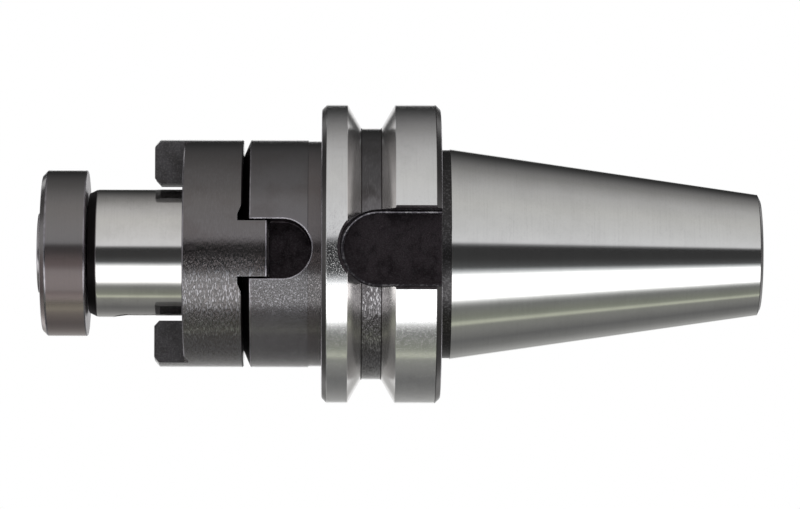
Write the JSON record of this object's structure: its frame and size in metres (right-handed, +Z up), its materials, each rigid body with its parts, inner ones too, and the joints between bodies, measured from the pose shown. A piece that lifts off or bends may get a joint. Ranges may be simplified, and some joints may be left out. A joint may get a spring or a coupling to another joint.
{
  "type": "shell mill arbor",
  "caption": "Steep-taper arbor with a V-grooved flange, slotted collar and keyed pilot, a loose drive ring with dogs, and a flat-headed retaining screw.",
  "frame": {"origin": "centre of the gauge plane, where the taper is widest, on the axis", "axes": "+X along the axis to the small end of the taper, -X to the retaining screw, +Z up through one dog of the drive ring, Y through the flange's drive slots"},
  "size_m": [0.1522, 0.063, 0.063],
  "materials": {
    "arbor_steel": "bright ground taper, flange and pilot; collar, groove and slots in satin black oxide",
    "ring_steel": "satin black oxide",
    "screw_steel": "brown-black oxide with worn bright edges"
  },
  "bodies": {
    "arbor": {"arbor_body": "arbor_steel"},
    "ring": {"drive_ring": "ring_steel"},
    "screw": {"retaining_screw": "screw_steel"}
  },
  "joints": [
    {"name": "ring_slide", "type": "slide", "parent": "arbor", "child": "ring", "axis": [-1, 0, 0], "range_m": [0, 0.0139]},
    {"name": "screw_withdrawal", "type": "slide", "parent": "arbor", "child": "screw", "axis": [-1, 0, 0], "range_m": [0, 0.06]}
  ]
}
